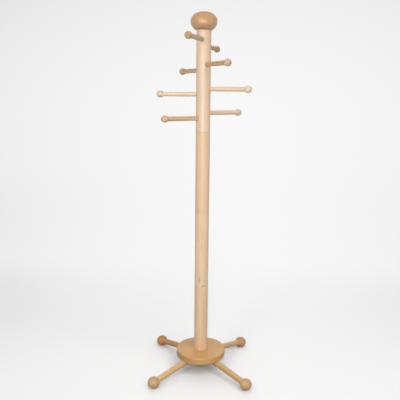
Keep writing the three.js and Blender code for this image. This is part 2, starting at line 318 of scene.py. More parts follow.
def store(solid, kind, name, value):
    return solid.node("GeometryNodeStoreNamedAttribute", {"data_type": kind, "domain": "POINT"},
                      {"Geometry": solid, "Name": name, "Value": value})


def boring_stage(lathe, blank):
    bores = blank.node("GeometryNodeObjectInfo", {}, {"Object": lathe["bores"]}, "Geometry")
    lines = blank.node("GeometryNodeMeshToCurve", {}, {"Mesh": bores})
    section = blank.node("GeometryNodeCurvePrimitiveCircle", {},
                         {"Resolution": lathe["bore_sides"], "Radius": lathe["bore_radius"]})
    bars = blank.node("GeometryNodeCurveToMesh", {},
                      {"Curve": lines, "Profile Curve": section, "Fill Caps": True})
    bored = blank.node("GeometryNodeMeshBoolean", {"operation": "DIFFERENCE", "solver": "EXACT"},
                       {"Mesh 1": blank, "Mesh 2": bars})
    clean = blank.node("GeometryNodeMergeByDistance", {}, {"Geometry": bored, "Distance": WELD})
    rim = nearness(blank, bars, "FACES", HOLE_RIM)
    marked = store(clean, "FLOAT", "hole_rim", rim)
    return blank.node("GeometryNodeSwitch", {"input_type": "GEOMETRY"},
                      {"Switch": lathe["bored"], "False": blank, "True": marked})


bored_blank = boring_stage(lathe, turned_blank)
print("nodes after boring:", len(lathe_tree.nodes))

# %% [markdown]
# The third stage gets the piece ready for its finish, while it still stands on the lathe's axis.
# It writes down each point's place in the log in millimetres, with the grain along Z, how much
# the surface there is end grain, and how near the point lies to an edge that hands would wear.
# Then it smooths everything but the true edges, tilts the piece, stands it in its place and gives
# it its material.

# %% Stage three: marking out and placing
WORN_EDGE_ANGLE = math.radians(14)
SHARP_EDGE_ANGLE = math.radians(35)
EDGE_REACH = 3 * MM


def shade(solid, domain, smooth):
    """Smooth shading of the faces or the edges, where it is wanted."""
    return solid.node("GeometryNodeSetShadeSmooth", {"domain": domain},
                      {"Geometry": solid, "Shade Smooth": smooth})


def hand_out(solid, finish):
    """The end of a tree: a real mesh in its material."""
    real = solid.node("GeometryNodeRealizeInstances", {}, {"Geometry": solid})
    done = real.node("GeometryNodeSetMaterial", {}, {"Geometry": real, "Material": finish})
    done.node("NodeGroupOutput", {}, {"Geometry": done}, output=None)


def placing_stage(lathe, solid):
    def along_grain(kind):
        return solid.node("FunctionNodeRotateVector", {},
                          {"Vector": solid.node(kind), "Rotation": lathe["grain"]})

    spot = along_grain("GeometryNodeInputPosition")
    in_log = spot.vector("DIVIDE", (MM, MM, MM)).vector("ADD", lathe["place_in_log"])
    end_grain = along_grain("GeometryNodeInputNormal").split()[2].math("ABSOLUTE")
    bend = solid.node("GeometryNodeInputMeshEdgeAngle")
    edges = solid.node("GeometryNodeSeparateGeometry", {"domain": "EDGE"}, {
        "Geometry": solid,
        "Selection": bend.math("GREATER_THAN", WORN_EDGE_ANGLE),
    })
    solid = store(solid, "FLOAT", "worn_edge", nearness(solid, edges, "EDGES", EDGE_REACH))
    solid = store(solid, "FLOAT_VECTOR", "timber", in_log)
    solid = store(solid, "FLOAT", "end_grain", end_grain)
    solid = store(solid, "FLOAT", "tone", lathe["tone"])
    smooth = shade(shade(solid, "FACE", True), "EDGE", bend.math("LESS_THAN", SHARP_EDGE_ANGLE))
    standing = smooth.node("GeometryNodeTransform", {}, {
        "Geometry": smooth,
        "Rotation": lathe["tilt"],
        "Translation": lathe["stand"],
    })
    hand_out(standing, lathe["finish"])


placing_stage(lathe, bored_blank)
print("nodes in the whole lathe:", len(lathe_tree.nodes))

# %% [markdown]
# ## Colours and noise
#
# Two helpers serve every finish. A colour is written as six hexadecimal digits and turned into
# the linear values that a shader works in. Noise is asked for by the size of its features in
# millimetres, across the grain and along it, because that is how wood is described.

# %% Colours and noise
def colour(code):
    shares = [int(code[i:i + 2], 16) / 255 for i in (0, 2, 4)]
    linear = [s / 12.92 if s <= 0.04045 else ((s + 0.055) / 1.055) ** 2.4 for s in shares]
    return (*linear, 1.0)


def blend(share, first, second, how="MIX"):
    """Mixes two colours, by a wire or a number."""
    return share.node("ShaderNodeMix", {"data_type": "RGBA", "blend_type": how},
                      {"Factor": share, "A": first, "B": second}, "Result")


def noise(spot, across, along, detail=2.0):
    """Noise from -0.5 to 0.5, with features of these sizes across and along the grain."""
    scaled = spot.vector("DIVIDE", (across, across, along))
    return scaled.node("ShaderNodeTexNoise", {},
                       {"Vector": scaled, "Scale": 1.0, "Detail": detail}) - 0.5


def new_material(name):
    material = bpy.data.materials.new(name)
    material.use_nodes = True
    material.node_tree.nodes.clear()
    return material, Wire(material.node_tree)


def attribute(start, name, output="Fac"):
    return start.node("ShaderNodeAttribute", {"attribute_name": name}, output=output)


def relief(height, strength, depth):
    """A surface's normal, from a height and how deep the relief is in metres."""
    return height.node("ShaderNodeBump", {},
                       {"Strength": strength, "Distance": depth, "Height": height})


def surface(start, inputs):
    """A Principled surface as the material's output."""
    shader = start.node("ShaderNodeBsdfPrincipled", {}, inputs)
    start.node("ShaderNodeOutputMaterial", {}, {"Surface": shader}, output=None)


print("linear value of middle grey:", round(colour("808080")[0], 3))

# %% [markdown]
# ## Lacquered beech
#
# Beech is pale and even, with a pinkish or a honey tone. What gives it away is small. The growth
# rings are about three millimetres apart, with a darker line where each summer ends. Short dark
# flecks lie along the grain: they are the wood's rays, cut across. Fine pores run everywhere, and
# broad streaks change the tone from one side of a board to the other. End grain drinks more
# lacquer and turns darker.
#
# All of this could be painted on each piece as a picture. Here it is worked out in the log: the
# lathe has written each point's place in it, so the rings run right through a piece, as straight
# lines on one side and as curves on another, and no two pieces show the same ones.

# %% What the log looks like at a point
CLOUD_SIZE = (55, 420)          # sizes across the grain and along it
STREAK_SIZE = (7, 260)
FIBRE_SIZE = (0.45, 24)
PORE_SIZE = (0.16, 2.2)
RING_WIDTH = 2.8
RING_WANDER = 16                # how far the clouds push the rings about
RING_EDGE = 5                   # the higher, the thinner the dark line of a ring
RAY_RADIUS = 90.0               # distance from the log's heart for which the width is given
RAY_WIDTH = 0.9
RAY_DEPTH = 9.0
RAY_LENGTH = 3.4
RAY_FILL = 0.40                 # how much of its cell a ray fills
RAY_SHARPNESS = 8
RAY_MISSING = 0.45              # share of the cells that hold no ray

Log = namedtuple("Log", "rings rays pores fibres streaks clouds")


def log_pattern(timber):
    """The patterns of the wood, from where a point lies in the log, in millimetres."""
    clouds = noise(timber, *CLOUD_SIZE)
    streaks = noise(timber, *STREAK_SIZE, detail=3.0)
    fibres = noise(timber, *FIBRE_SIZE, detail=3.0)
    pores = noise(timber, *PORE_SIZE)
    x, y, z = timber.split()
    from_heart = (x * x + y * y) ** 0.5 + clouds * RING_WANDER
    rings = (from_heart / RING_WIDTH).math("FRACT") ** RING_EDGE
    cell = x.node("ShaderNodeCombineXYZ", {}, {
        "X": y.math("ARCTAN2", x) * (RAY_RADIUS / RAY_WIDTH),
        "Y": from_heart / RAY_DEPTH,
        "Z": z / RAY_LENGTH,
    })
    distance = cell.node("ShaderNodeTexVoronoi", {}, {"Vector": cell, "Scale": 1.0})
    chance = distance.other("Color").split()[0]
    shape = ((RAY_FILL - distance) * RAY_SHARPNESS).clamp()
    rays = shape * chance.math("GREATER_THAN", RAY_MISSING)
    return Log(rings, rays, pores, fibres, streaks, clouds)


print("growth rings in a log of 60 mm radius:", int(60 / RING_WIDTH))

# %% [markdown]
# A turned pole is one piece of a board, but a wide disc is glued up from staves, and each stave
# comes from another board. So the disc's material may shift the log and the tone from one stave
# to the next. A few knots or mineral marks are given by their place on the rack, because they
# belong to one piece of timber and no other.
#
# The lacquer is a clear coat over the wood. It is thin on most pieces and shows only at a slant.
# The finial has a thicker one, dipped instead of wiped on, and it holds a small round highlight.
# Its colour is darker too, and towards its foot, where it meets the pole, it carries painted
# shade.

# %% Numbers of the wooden finishes
RAY_COLOUR = colour("8a5a38")
END_GRAIN_COLOUR = colour("8f5c33")
# dirt and painted shade at the rims of holes, and painted shade at the finial's foot
DIRT_AND_SHADE_COLOUR = colour("4f3521")
MARK_COLOUR = colour("9c5a22")
MARK_REACH = 1.2                # a mark fades out at this many times its size
STAVE_WIDTH = 63.5
STAVE_SHIFT = Vector((37.0, 53.0, 411.0))
STAVE_CONTRAST = 0.5
MEAN_TONE = 0.4                 # 0 is a wood's pale colour, 1 its deep one
MEAN_ROUGHNESS = 0.46
TONE_SHARES = {"clouds": 0.9, "streaks": 0.8, "fibres": 0.35, "rings": 0.22, "pores": 0.15}
ROUGHNESS_SHARES = {"fibres": 0.16, "clouds": 0.1}
RELIEF_SHARES = {"fibres": 1, "pores": 0.6, "rings": -0.35, "rays": -0.3}
RAY_STRENGTH = 0.28
END_GRAIN_SHARPNESS = 3
END_GRAIN_STRENGTH = 0.30
END_GRAIN_RINGS = 0.2
END_GRAIN_ROUGHNESS = 0.1
# how dark the dirt and painted shade at a hole's rim get
DIRT_AND_SHADE_STRENGTH = 0.45
WEAR_STRENGTH = 0.25
GRAIN_DEPTH = 0.06 * MM
GRAIN_BUMP = 0.6

Lacquer = namedtuple("Lacquer", "weight roughness ior undercoat")
Mark = namedtuple("Mark", "place size strength")

THIN_LACQUER = Lacquer(0.2, 0.28, 1.5, 0.5)
THICK_LACQUER = Lacquer(1.0, 0.44, 1.7, 0.75)
print("shares of the patterns in the tone:", TONE_SHARES)

# %% Making a wooden finish
def weighted(log, shares):
    """The sum of the log's patterns, each by its share."""
    return sum(getattr(log, name) * share for name, share in shares.items())


def mark_mask(start, marks):
    """A darker patch round each place, for a stain and for painted shade alike: an ellipsoid, in
    metres.
    """
    spot = start.node("ShaderNodeTexCoord", output="Object")
    total = None
    for mark in marks:
        away = spot.vector("SUBTRACT", mark.place).vector("DIVIDE", mark.size).length()
        mask = (MARK_REACH - away).clamp() * mark.strength
        total = mask if total is None else total.math("MAXIMUM", mask)
    return total


def beech(name, pale, deep, lacquer=THIN_LACQUER, stave_width=None,
          marks=(), stain_and_shade_colour=MARK_COLOUR):
    material, start = new_material(name)
    timber = attribute(start, "timber", "Vector")
    depth = MEAN_TONE + attribute(start, "tone")
    if stave_width:
        stave = (timber.split()[1] / stave_width).math("FLOOR")
        draw = stave.node("ShaderNodeTexWhiteNoise", {"noise_dimensions": "1D"}, {"W": stave})
        depth = depth + (draw - 0.5) * STAVE_CONTRAST
        timber = timber.vector("ADD", stave.times(STAVE_SHIFT))
    log = log_pattern(timber)
    end_grain = attribute(start, "end_grain") ** END_GRAIN_SHARPNESS
    # dirt and painted shade round the holes, where one piece meets another
    dirt_and_shade = attribute(start, "hole_rim") ** 2 * DIRT_AND_SHADE_STRENGTH
    wear = attribute(start, "worn_edge") ** 2 * WEAR_STRENGTH
    wood = blend((depth + weighted(log, TONE_SHARES)).clamp(), pale, deep)
    wood = blend(log.rays * RAY_STRENGTH * (1 - end_grain), wood, RAY_COLOUR)
    wood = blend(end_grain * (END_GRAIN_STRENGTH + log.rings * END_GRAIN_RINGS),
                 wood, END_GRAIN_COLOUR)
    wood = blend(dirt_and_shade, wood, DIRT_AND_SHADE_COLOUR)
    wood = blend(wear, wood, pale)
    # darker marks: real stains, and painted shade at the finial's foot
    if marks:
        wood = blend(mark_mask(start, marks), wood, stain_and_shade_colour)
    rough = MEAN_ROUGHNESS + weighted(log, ROUGHNESS_SHARES) + end_grain * END_GRAIN_ROUGHNESS
    surface(start, {
        "Base Color": wood,
        "Roughness": rough,
        "Normal": relief(weighted(log, RELIEF_SHARES), GRAIN_BUMP, GRAIN_DEPTH),
        "Specular IOR Level": lacquer.undercoat,
        "Coat Weight": lacquer.weight,
        "Coat Roughness": lacquer.roughness,
        "Coat IOR": lacquer.ior,
    })
    return material


print("refraction of the two lacquers:", THIN_LACQUER.ior, THICK_LACQUER.ior)

# %% The woods of the rack
MIDDLE_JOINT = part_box("pole_upper_middle")[0].z
LOWER_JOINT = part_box("pole_lower_middle")[0].z
JOINT_MARKS = [Mark((-0.014, -0.030, MIDDLE_JOINT + 0.014), (0.022, 0.030, 0.018), 0.14)]
SEAM_MARKS = [
    Mark((-0.010, -0.033, LOWER_JOINT + 0.0340), (0.0060, 0.010, 0.020), 0.40),
    Mark((0.010, -0.033, LOWER_JOINT + 0.0030), (0.011, 0.010, 0.0060), 0.45),
]
FINIAL_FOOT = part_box("finial")[0].z
# painted shade on the finial's underside, where it sits on the pole
FINIAL_PAINTED_SHADE = [Mark((0, 0, FINIAL_FOOT), (0.090, 0.090, 0.020), 0.35)]
WOODS = {
    "beech_pole_upper": beech("pale_beech", colour("ead1ba"), colour("e7be8b"),
                              marks=JOINT_MARKS),
    "beech_pole_lower": beech("tan_beech", colour("f0cfa9"), colour("c9a571"), marks=SEAM_MARKS),
    "beech_base": beech("disc_beech", colour("d0a266"), colour("b28146"), stave_width=STAVE_WIDTH),
    "beech_legs": beech("leg_beech", colour("dbb885"), colour("ab772a")),
    "beech_feet": beech("foot_beech", colour("d0ad7c"), colour("ad7121")),
    "beech_pegs": beech("peg_beech", colour("f5dfc4"), colour("c0935c")),
    "beech_finial": beech("finial_beech", colour("d29e61"), colour("af7c42"),
                          lacquer=THICK_LACQUER, marks=FINIAL_PAINTED_SHADE, stain_and_shade_colour=DIRT_AND_SHADE_COLOUR),
}
print("wooden finishes:", ", ".join(WOODS))

# %% [markdown]
# ## Zinc-plated steel
#
# The screws, the washer and the threaded inserts are ordinary hardware with bright zinc plating:
# a cool grey metal, a little cloudy, with fine scratches. The object's own coordinates are enough
# for it, because plating has no grain.

# %% The finish of the hardware
ZINC_CLOUD_SIZE = (5, 5)
ZINC_CONTRAST = 1.4
ZINC_ROUGHNESS = 0.34
ZINC_UNEVENNESS = 0.2
ZINC_WEAR = 0.4
SCRATCH_SIZE = (0.15, 6)
SCRATCH_DEPTH = 0.02 * MM
SCRATCH_BUMP = 0.4


def zinc(name):
    material, start = new_material(name)
    spot = start.node("ShaderNodeTexCoord", output="Object").vector("DIVIDE", (MM, MM, MM))
    clouds = noise(spot, *ZINC_CLOUD_SIZE, detail=4.0)
    scratches = noise(spot, *SCRATCH_SIZE)
    plating = blend((clouds * ZINC_CONTRAST + 0.5).clamp(), colour("c3c7cb"), colour("989da3"))
    plating = blend(attribute(start, "worn_edge") * ZINC_WEAR, plating, colour("d8dadc"))
    surface(start, {
        "Base Color": plating,
        "Metallic": 1.0,
        "Roughness": (clouds + scratches) * ZINC_UNEVENNESS + ZINC_ROUGHNESS,
        "Normal": relief(scratches, SCRATCH_BUMP, SCRATCH_DEPTH),
    })
    return material


FINISHES = {**WOODS, "steel_hardware": zinc("bright_zinc")}
print("finishes in all:", len(FINISHES))

# %% [markdown]
# ## Measuring the frame, and setting up the lathe
#
# No size that the frame holds is written again here. A spindle is the line that a piece was
# turned on, with how far the piece reaches along it and away from it, and the height at which it
# is widest, all measured on the frame's own vertices. An upright piece needs only its name. A peg
# or a leg also needs its line.

# %% Spindles
Spindle = namedtuple("Spindle", "origin direction low high radius widest")


def box_centre(node):
    low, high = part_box(node)
    return (low + high) / 2


def spindle(node, origin=None, direction=UP, below=math.inf):
    """How a node lies along a line, looking only at what is below a height if one is given."""
    if origin is None:
        origin = box_centre(node)
        origin.z = 0
    spots = [v.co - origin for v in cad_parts[node].data.vertices]
    spots = [spot for spot in spots if spot.dot(direction) < below]
    heights = [spot.dot(direction) for spot in spots]
    reaches = [(spot - direction * height).length for spot, height in zip(spots, heights)]
    radius = max(reaches)
    widest = heights[reaches.index(radius)]
    return Spindle(origin, direction, min(heights), max(heights), radius, widest)


POLE = spindle("pole_upper")
print("radius of the pole in mm:", round(POLE.radius / MM, 2))

# %% [markdown]
# A profile is a list of points, each with its distance from the axis and its height, and where it
# is needed the depth of the thread and of the ribs. It runs from the bottom up along the outside,
# and starts and ends on the axis. A ring's profile ends where it starts. Round stretches are
# arcs, and long straight ones get evenly spaced points, so that wear, dirt and painted shade can
# fade out along them.

# %% Profiles
EASED_STEPS = 4
WIDE_STEPS = 12
BAR_EASING = 1 * MM
RING_SPACING = 8 * MM
FINE_SPACING = 3 * MM
FACE_SPACING = 4 * MM


def arc(radius, height, size, start, end, steps):
    """Points of a round stretch about a centre, between two angles in degrees."""
    angles = [math.radians(start + (end - start) * i / steps) for i in range(steps + 1)]
    return [(radius + size * math.cos(a), height + size * math.sin(a)) for a in angles]


def stretch(start, end, spacing):
    """Points of a straight stretch, no further apart than the spacing."""
    steps = max(1, math.ceil(math.dist(start, end) / spacing))
    return [tuple(a + (b - a) * i / steps for a, b in zip(start, end)) for i in range(steps + 1)]


def lower_edge(radius, height, easing):
    """An eased edge at the bottom of a side."""
    return arc(radius - easing, height + easing, easing, -90, 0, EASED_STEPS)


def upper_edge(radius, height, easing):
    return arc(radius - easing, height - easing, easing, 0, 90, EASED_STEPS)


def upright(radius, start, end, spacing):
    """Points of a straight side, from one height to another."""
    return stretch((radius, start), (radius, end), spacing)


def level(start, end, height):
    """Points of a flat face, from one radius to another."""
    return stretch((start, height), (end, height), FACE_SPACING)


def bar(rod):
    """A plain bar with eased ends."""
    side = upright(rod.radius, rod.low + BAR_EASING, rod.high - BAR_EASING, RING_SPACING)
    return [
        (0, rod.low),
        *lower_edge(rod.radius, rod.low, BAR_EASING),
        *side[1:-1],
        *upper_edge(rod.radius, rod.high, BAR_EASING),
        (0, rod.high),
    ]


print("points in a quarter-round edge:", len(lower_edge(1, 0, 0.1)))

# %% [markdown]
# Two functions do a whole job on the lathe. The first lays the profile out as a mesh, sets the
# tree's inputs by their identifiers, and takes the result off as a plain mesh. The second turns a
# piece with it, names it after the frame's node that it stands for, parents it to the rack's root
# and hides that node. The place in the log is drawn at random from a seeded source, some way out
# from the heart, because boards with the heart in them crack.

# %% Working the lathe
BLANK_SIDES = 96
SLIM_SIDES = 64
WIDE_SIDES = 128
BORE_SIDES = 64
HEART_CLEARANCE = 38            # nearest to the log's heart, in millimetres
LOG_RADIUS = 95                 # and furthest from it
LOG_LENGTH = 4000
log_draw = random.Random(20)


def place_in_log():
    away = log_draw.uniform(HEART_CLEARANCE, LOG_RADIUS)
    angle = log_draw.uniform(0, math.tau)
    return (away * math.cos(angle), away * math.sin(angle), log_draw.uniform(0, LOG_LENGTH))


def profile_mesh(name, profile):
    """A line of points that also carries the depths of the thread and of the ribs."""
    radii, heights, threads, ribs = zip(*[(*point, 0, 0)[:4] for point in profile])
    mesh = bpy.data.meshes.new(name)
    mesh.from_pydata([(r, 0, h) for r, h in zip(radii, heights)],
                     [(i, i + 1) for i in range(len(radii) - 1)], [])
    for label, depths in (("thread", threads), ("ribs", ribs)):
        mesh.attributes.new(label, "FLOAT", "POINT").data.foreach_set("value", depths)
    return mesh


def bore_lines(bores):
    """An object with one edge along the middle of each bore."""
    mesh = bpy.data.meshes.new("bores")
    ends = [end for bore in bores for end in bore]
    mesh.from_pydata(ends, [(i, i + 1) for i in range(0, len(ends), 2)], [])
    return new_object("bores", mesh)


print("sides of a blank:", BLANK_SIDES, "of a slim one:", SLIM_SIDES, "of a wide one:", WIDE_SIDES)

# %% Turning a piece
def run_tree(name, profile, tree, settings):
    """An object with the plain mesh that a tree makes of a profile."""
    piece = new_object(name, profile_mesh(name, profile))
    modifier = piece.modifiers.new("lathe", "NODES")
    modifier.node_group = tree
    for item in tree.interface.items_tree:
        if item.in_out == "INPUT" and item.name in settings:
            modifier[item.identifier] = settings[item.name]
    scene_state = bpy.context.evaluated_depsgraph_get()
    made = bpy.data.meshes.new_from_object(piece.evaluated_get(scene_state))
    made.name = name
    piece.modifiers.clear()
    piece.data = made
    return piece


def turn(node, profile, slot, line=None, bores=(), **inputs):
    """Turns one piece in place of a node of the frame."""
    name = ("plated_" if slot == "steel_hardware" else "turned_") + node
    settings = {
        "sides": BLANK_SIDES,
        "thread_pitch": MM,
        "bore_sides": BORE_SIDES,
        "place_in_log": place_in_log(),
        "finish": FINISHES[slot],
        **inputs,
    }
    if line:
        settings["stand"] = line.origin
        settings["tilt"] = UP.rotation_difference(line.direction).to_euler()
    if bores:
        settings["bored"] = True
        settings["bores"] = bore_lines(bores)
    piece = run_tree(name, profile, lathe_tree, settings)
    if bores:
        bpy.data.objects.remove(settings["bores"])
    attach(piece, "root")
    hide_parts(node)
    return piece


def report(title, pieces):
    print(title, {p.name: len(p.data.polygons) for p in pieces})

# %% [markdown]
# ## The pole
#
# The pole comes apart for transport into four sections. Each joint is a double-ended bolt: it
# screws into the end grain of the section below and into a threaded insert in the section above.
# So a section has a stepped hole in its foot and a plain one in its head. All rims are eased, and
# the joint under the pegs more than the others, which is why that one shows as a fine groove.
#
# The lowest section ends in a spigot that goes through the disc, and the highest one carries the
# pegs. Their holes are bored last, each from the far side of the pole's skin to a flat bottom.

# %% Ends of the pole's sections
CLEARANCE = 0.3 * MM
TIGHT_EASING = 0.5 * MM
OPEN_EASING = 1.2 * MM
SPIGOT_EASING = 1 * MM
TOP_EASING = 3 * MM


def hole_for(pin):
    """The radius of the hole that takes a pin."""
    return pin.radius + CLEARANCE


def stepped_hole(floor, bolt, insert, mouth):
    """From the hole's floor to its mouth: narrow round the bolt, wide round the insert."""
    step = insert.high + CLEARANCE
    return [
        (0, floor),
        (hole_for(bolt), floor),
        (hole_for(bolt), step),
        (hole_for(insert), step),
        (hole_for(insert), mouth),
    ]


def joint_foot(joint, section, easing):
    """The foot of a section: the stepped hole and the eased rim."""
    bolt = spindle(joint + "_joint_bolt")
    insert = spindle(joint + "_joint_insert")
    return [
        *stepped_hole(bolt.high + CLEARANCE, bolt, insert, section.low),
        *lower_edge(section.radius, section.low, easing),
    ]


def spigot_foot(section):
    """The lowest end: a spigot with the hole for the base's screw and its insert."""
    disc = spindle("base_disc")
    insert = spindle("base_insert")
    spigot = spindle("pole_lower", below=disc.high)
    floor = max(spindle("base_screw").high, insert.high) + CLEARANCE
    return [
        *stepped_hole(floor, spindle("lower_joint_bolt"), insert, section.low),
        *lower_edge(spigot.radius, section.low, SPIGOT_EASING),
        (spigot.radius, disc.high + CLEARANCE),
        (section.radius, disc.high + CLEARANCE),
    ]


def bored_head(pin, section, easing):
    """The head of a section: the eased rim and the plain hole for a bolt or a dowel."""
    floor = pin.low - CLEARANCE
    return [
        *upper_edge(section.radius, section.high, easing),
        (hole_for(pin), section.high),
        (hole_for(pin), floor),
        (0, floor),
    ]


print("the finial's dowel goes into the pole by mm:",
      round((POLE.high - spindle("finial_dowel").low) / MM, 1))

# %% The lines of the pegs
PEGS = range(1, 9)
# each peg's and knob's tone is partly its wood's own and partly painted shade: pegs in shade get
# deeper tones
PEG_TONES_AND_SHADE = {1: 0.22, 2: 0.65, 3: 0.43, 4: 0.20, 5: -0.03, 6: -0.27, 7: -0.14, 8: 0.16}
KNOB_TONES_AND_SHADE = {1: 0.46, 2: 0.36, 3: 0.23, 4: 0.46, 5: -0.25, 6: 0.20, 7: -0.13, 8: 0.15}


def peg_line(number):
    """The axis of a peg: level, from the pole's axis outwards."""
    middle = box_centre(f"peg_{number}")
    origin = Vector((0, 0, middle.z))
    return origin, (middle - origin).normalized()


def peg_spindle(number):
    return spindle(f"peg_{number}", *peg_line(number))


def peg_bore(number):
    """From outside the pole to just past the peg's inner end."""
    peg = peg_spindle(number)
    return (
        peg.origin + peg.direction * (peg.low - CLEARANCE),
        peg.origin + peg.direction * (2 * POLE.radius),
    )


print("heights of the pegs in mm:", [round(peg_line(n)[0].z / MM, 1) for n in PEGS])

# %% The four sections
def section_side(section, low_easing, high_easing, spacing):
    """The long outside of a section, between the two rims."""
    low = section.low + low_easing + FINE_SPACING
    high = section.high - high_easing - FINE_SPACING
    return upright(section.radius, low, high, spacing)


Section = namedtuple("Section", "node joint pin low_easing high_easing spacing slot tone")

LOWEST_TONE = -0.11
UPPER_SECTIONS = (
    Section("pole_lower_middle", "lower", "middle_joint_bolt", TIGHT_EASING, TIGHT_EASING,
            RING_SPACING, "beech_pole_lower", -0.31),
    Section("pole_upper_middle", "middle", "upper_joint_bolt", TIGHT_EASING, OPEN_EASING,
            RING_SPACING, "beech_pole_upper", 0.20),
    Section("pole_upper", "upper", "finial_dowel", OPEN_EASING, TOP_EASING,
            FINE_SPACING, "beech_pole_upper", -0.08),
)
PEG_BORES = {
    "bores": [peg_bore(n) for n in PEGS],
    "bore_radius": hole_for(peg_spindle(1)),
}


def turn_lowest_section():
    lower = spindle("pole_lower")
    shoulder = spindle("base_disc").high + CLEARANCE - lower.low
    return turn("pole_lower", [
        *spigot_foot(lower),
        *section_side(lower, shoulder, TIGHT_EASING, RING_SPACING),
        *bored_head(spindle("lower_joint_bolt"), lower, TIGHT_EASING),
    ], "beech_pole_lower", tone=LOWEST_TONE)


def turn_upper_section(part):
    """A section that stands on another, with a joint at its foot."""
    section = spindle(part.node)
    return turn(part.node, [
        *joint_foot(part.joint, section, part.low_easing),
        *section_side(section, part.low_easing, part.high_easing, part.spacing),
        *bored_head(spindle(part.pin), section, part.high_easing),
    ], part.slot, tone=part.tone, **(PEG_BORES if part.node == "pole_upper" else {}))


report("pole:", [turn_lowest_section(), *map(turn_upper_section, UPPER_SECTIONS)])

# %% [markdown]
# ## Pegs and their ball ends
#
# A peg is a plain dowel, glued into the pole at one end and into a ball at the other. The ball
# is slightly oval, longer along the peg than across it. It was turned and bored before it went
# on, so its socket is part of its profile: the profile starts at the bottom of the socket, comes
# out along its wall, and goes round the outside.

# %% Pegs and knobs
BALL_STEPS = 30


def ball_side(ball, start, steps):
    """The outside of a ball: an arc, from an angle below the widest level, made oval."""
    share = (ball.high - ball.widest) / ball.radius
    return [(r, ball.widest + h * share) for r, h in arc(0, 0, ball.radius, start, 90, steps)]


def knob_profile(knob):
    """A ball with a blind socket that faces the pole."""
    peg = peg_spindle(1)
    socket = hole_for(peg)
    mouth = math.degrees(math.acos(socket / knob.radius))
    return [
        (0, peg.high + CLEARANCE),
        (socket, peg.high + CLEARANCE),
        *ball_side(knob, -mouth, BALL_STEPS),
    ]


def turn_pegs():
    made = []
    for number in PEGS:
        peg = peg_spindle(number)
        knob = spindle(f"knob_{number}", *peg_line(number))
        made.append(turn(f"peg_{number}", bar(peg), "beech_pegs", peg,
                         sides=SLIM_SIDES, tone=PEG_TONES_AND_SHADE[number]))
        made.append(turn(f"knob_{number}", knob_profile(knob), "beech_pegs", knob,
                         sides=SLIM_SIDES, tone=KNOB_TONES_AND_SHADE[number]))
    return made


report("pegs and knobs:", turn_pegs())

# %% [markdown]
# ## The finial
#
# The finial is a mushroom-shaped ball. Its crown is a little fuller than an ellipse, and its
# underside follows a deeper ellipse that is cut off flat where it sits on the pole. Both halves
# are curves of one formula: an exponent of one gives the ellipse, and one just under it fills the
# shoulder out.

# %% Finial
CROWN_FULLNESS = 2.15
UNDERSIDE_CURVE = 49 * MM
FINIAL_STEPS = 28


def finial_profile(finial):
    dowel = spindle("finial_dowel")
    centre = finial.widest
    crown = finial.high - centre
    lowest = math.asin((centre - finial.low) / UNDERSIDE_CURVE)
    shares = [i / FINIAL_STEPS for i in range(FINIAL_STEPS)]
    below = [lowest * (1 - share) for share in shares]
    above = [math.pi / 2 * share for share in shares]
    fullness = 2 / CROWN_FULLNESS
    return [
        (0, dowel.high + CLEARANCE),
        (hole_for(dowel), dowel.high + CLEARANCE),
        (hole_for(dowel), finial.low),
        *[(finial.radius * math.cos(a), centre - UNDERSIDE_CURVE * math.sin(a)) for a in below],
        *[(finial.radius * math.cos(a) ** fullness, centre + crown * math.sin(a) ** fullness)
          for a in above],
        (0, finial.high),
    ]


def turn_finial():
    dowel = spindle("finial_dowel")
    finial = spindle("finial")
    return [
        turn("finial_dowel", bar(dowel), "beech_pegs", sides=SLIM_SIDES),
        turn("finial", finial_profile(finial), "beech_finial", sides=WIDE_SIDES),
    ]


report("finial:", turn_finial())

# %% [markdown]
# ## Legs and foot balls
#
# A leg is a dowel that slopes down from the base. Its line runs through the middle of its foot
# ball. The ball is a little flatter than a true one and stands on a small flat. Its socket
# follows the leg's slope, so it can't be part of the ball's own profile: it is bored, like the
# holes for the pegs.

# %% Legs and feet
LEGS = range(1, 5)
LEG_TONES = {1: -0.02, 2: 0.42, 3: -0.24, 4: -0.10}
FOOT_TONES = {1: 0.10, 2: 0.40, 3: -0.10, 4: -0.33}


def foot_spindle(number):
    return spindle(f"foot_ball_{number}")


def foot_centre(number):
    foot = foot_spindle(number)
    return foot.origin + UP * foot.widest


def leg_spindle(number):
    """Along a leg, heights run from the foot ball's centre towards the pole."""
    centre = foot_centre(number)
    upwards = (box_centre(f"leg_{number}") - centre).normalized()
    return spindle(f"leg_{number}", centre, upwards)


def foot_profile(foot):
    below = (foot.widest - foot.low) / (foot.high - foot.widest)
    start = -math.degrees(math.asin(below))
    return [(0, foot.low), *ball_side(foot, start, 2 * BALL_STEPS)]


def turn_legs():
    made = []
    for number in LEGS:
        leg = leg_spindle(number)
        foot = foot_spindle(number)
        socket_floor = leg.origin + leg.direction * (leg.low - CLEARANCE)
        outside = leg.origin + leg.direction * (2 * foot.radius)
        bore = (socket_floor - foot.origin, outside - foot.origin)
        made.append(turn(f"leg_{number}", bar(leg), "beech_legs", leg,
                         sides=SLIM_SIDES, tone=LEG_TONES[number]))
        made.append(turn(f"foot_ball_{number}", foot_profile(foot), "beech_feet", foot,
                         tone=FOOT_TONES[number], bores=[bore], bore_radius=hole_for(leg)))
    return made


report("legs and feet:", turn_legs())

# %% [markdown]
# ## The base
#
# A wide disc lies on a smaller hub, and the two clamp the legs between them. The legs' holes are
# bored through both at once, so each gets its share of the round. Disc and hub are faceplate
# work: their grain lies flat, so the side of the disc shows end grain on two sides and long grain
# on the other two.

# %% Disc and hub
DISC_EASING = 5.5 * MM
HUB_EASING = 3 * MM
RECESS_CLEARANCE = 5 * CLEARANCE
DISC_SIDES = 160
HUB_TONE = 0.15
DISC_GRAIN = 8                  # the way the grain runs, in degrees
HUB_GRAIN = 98


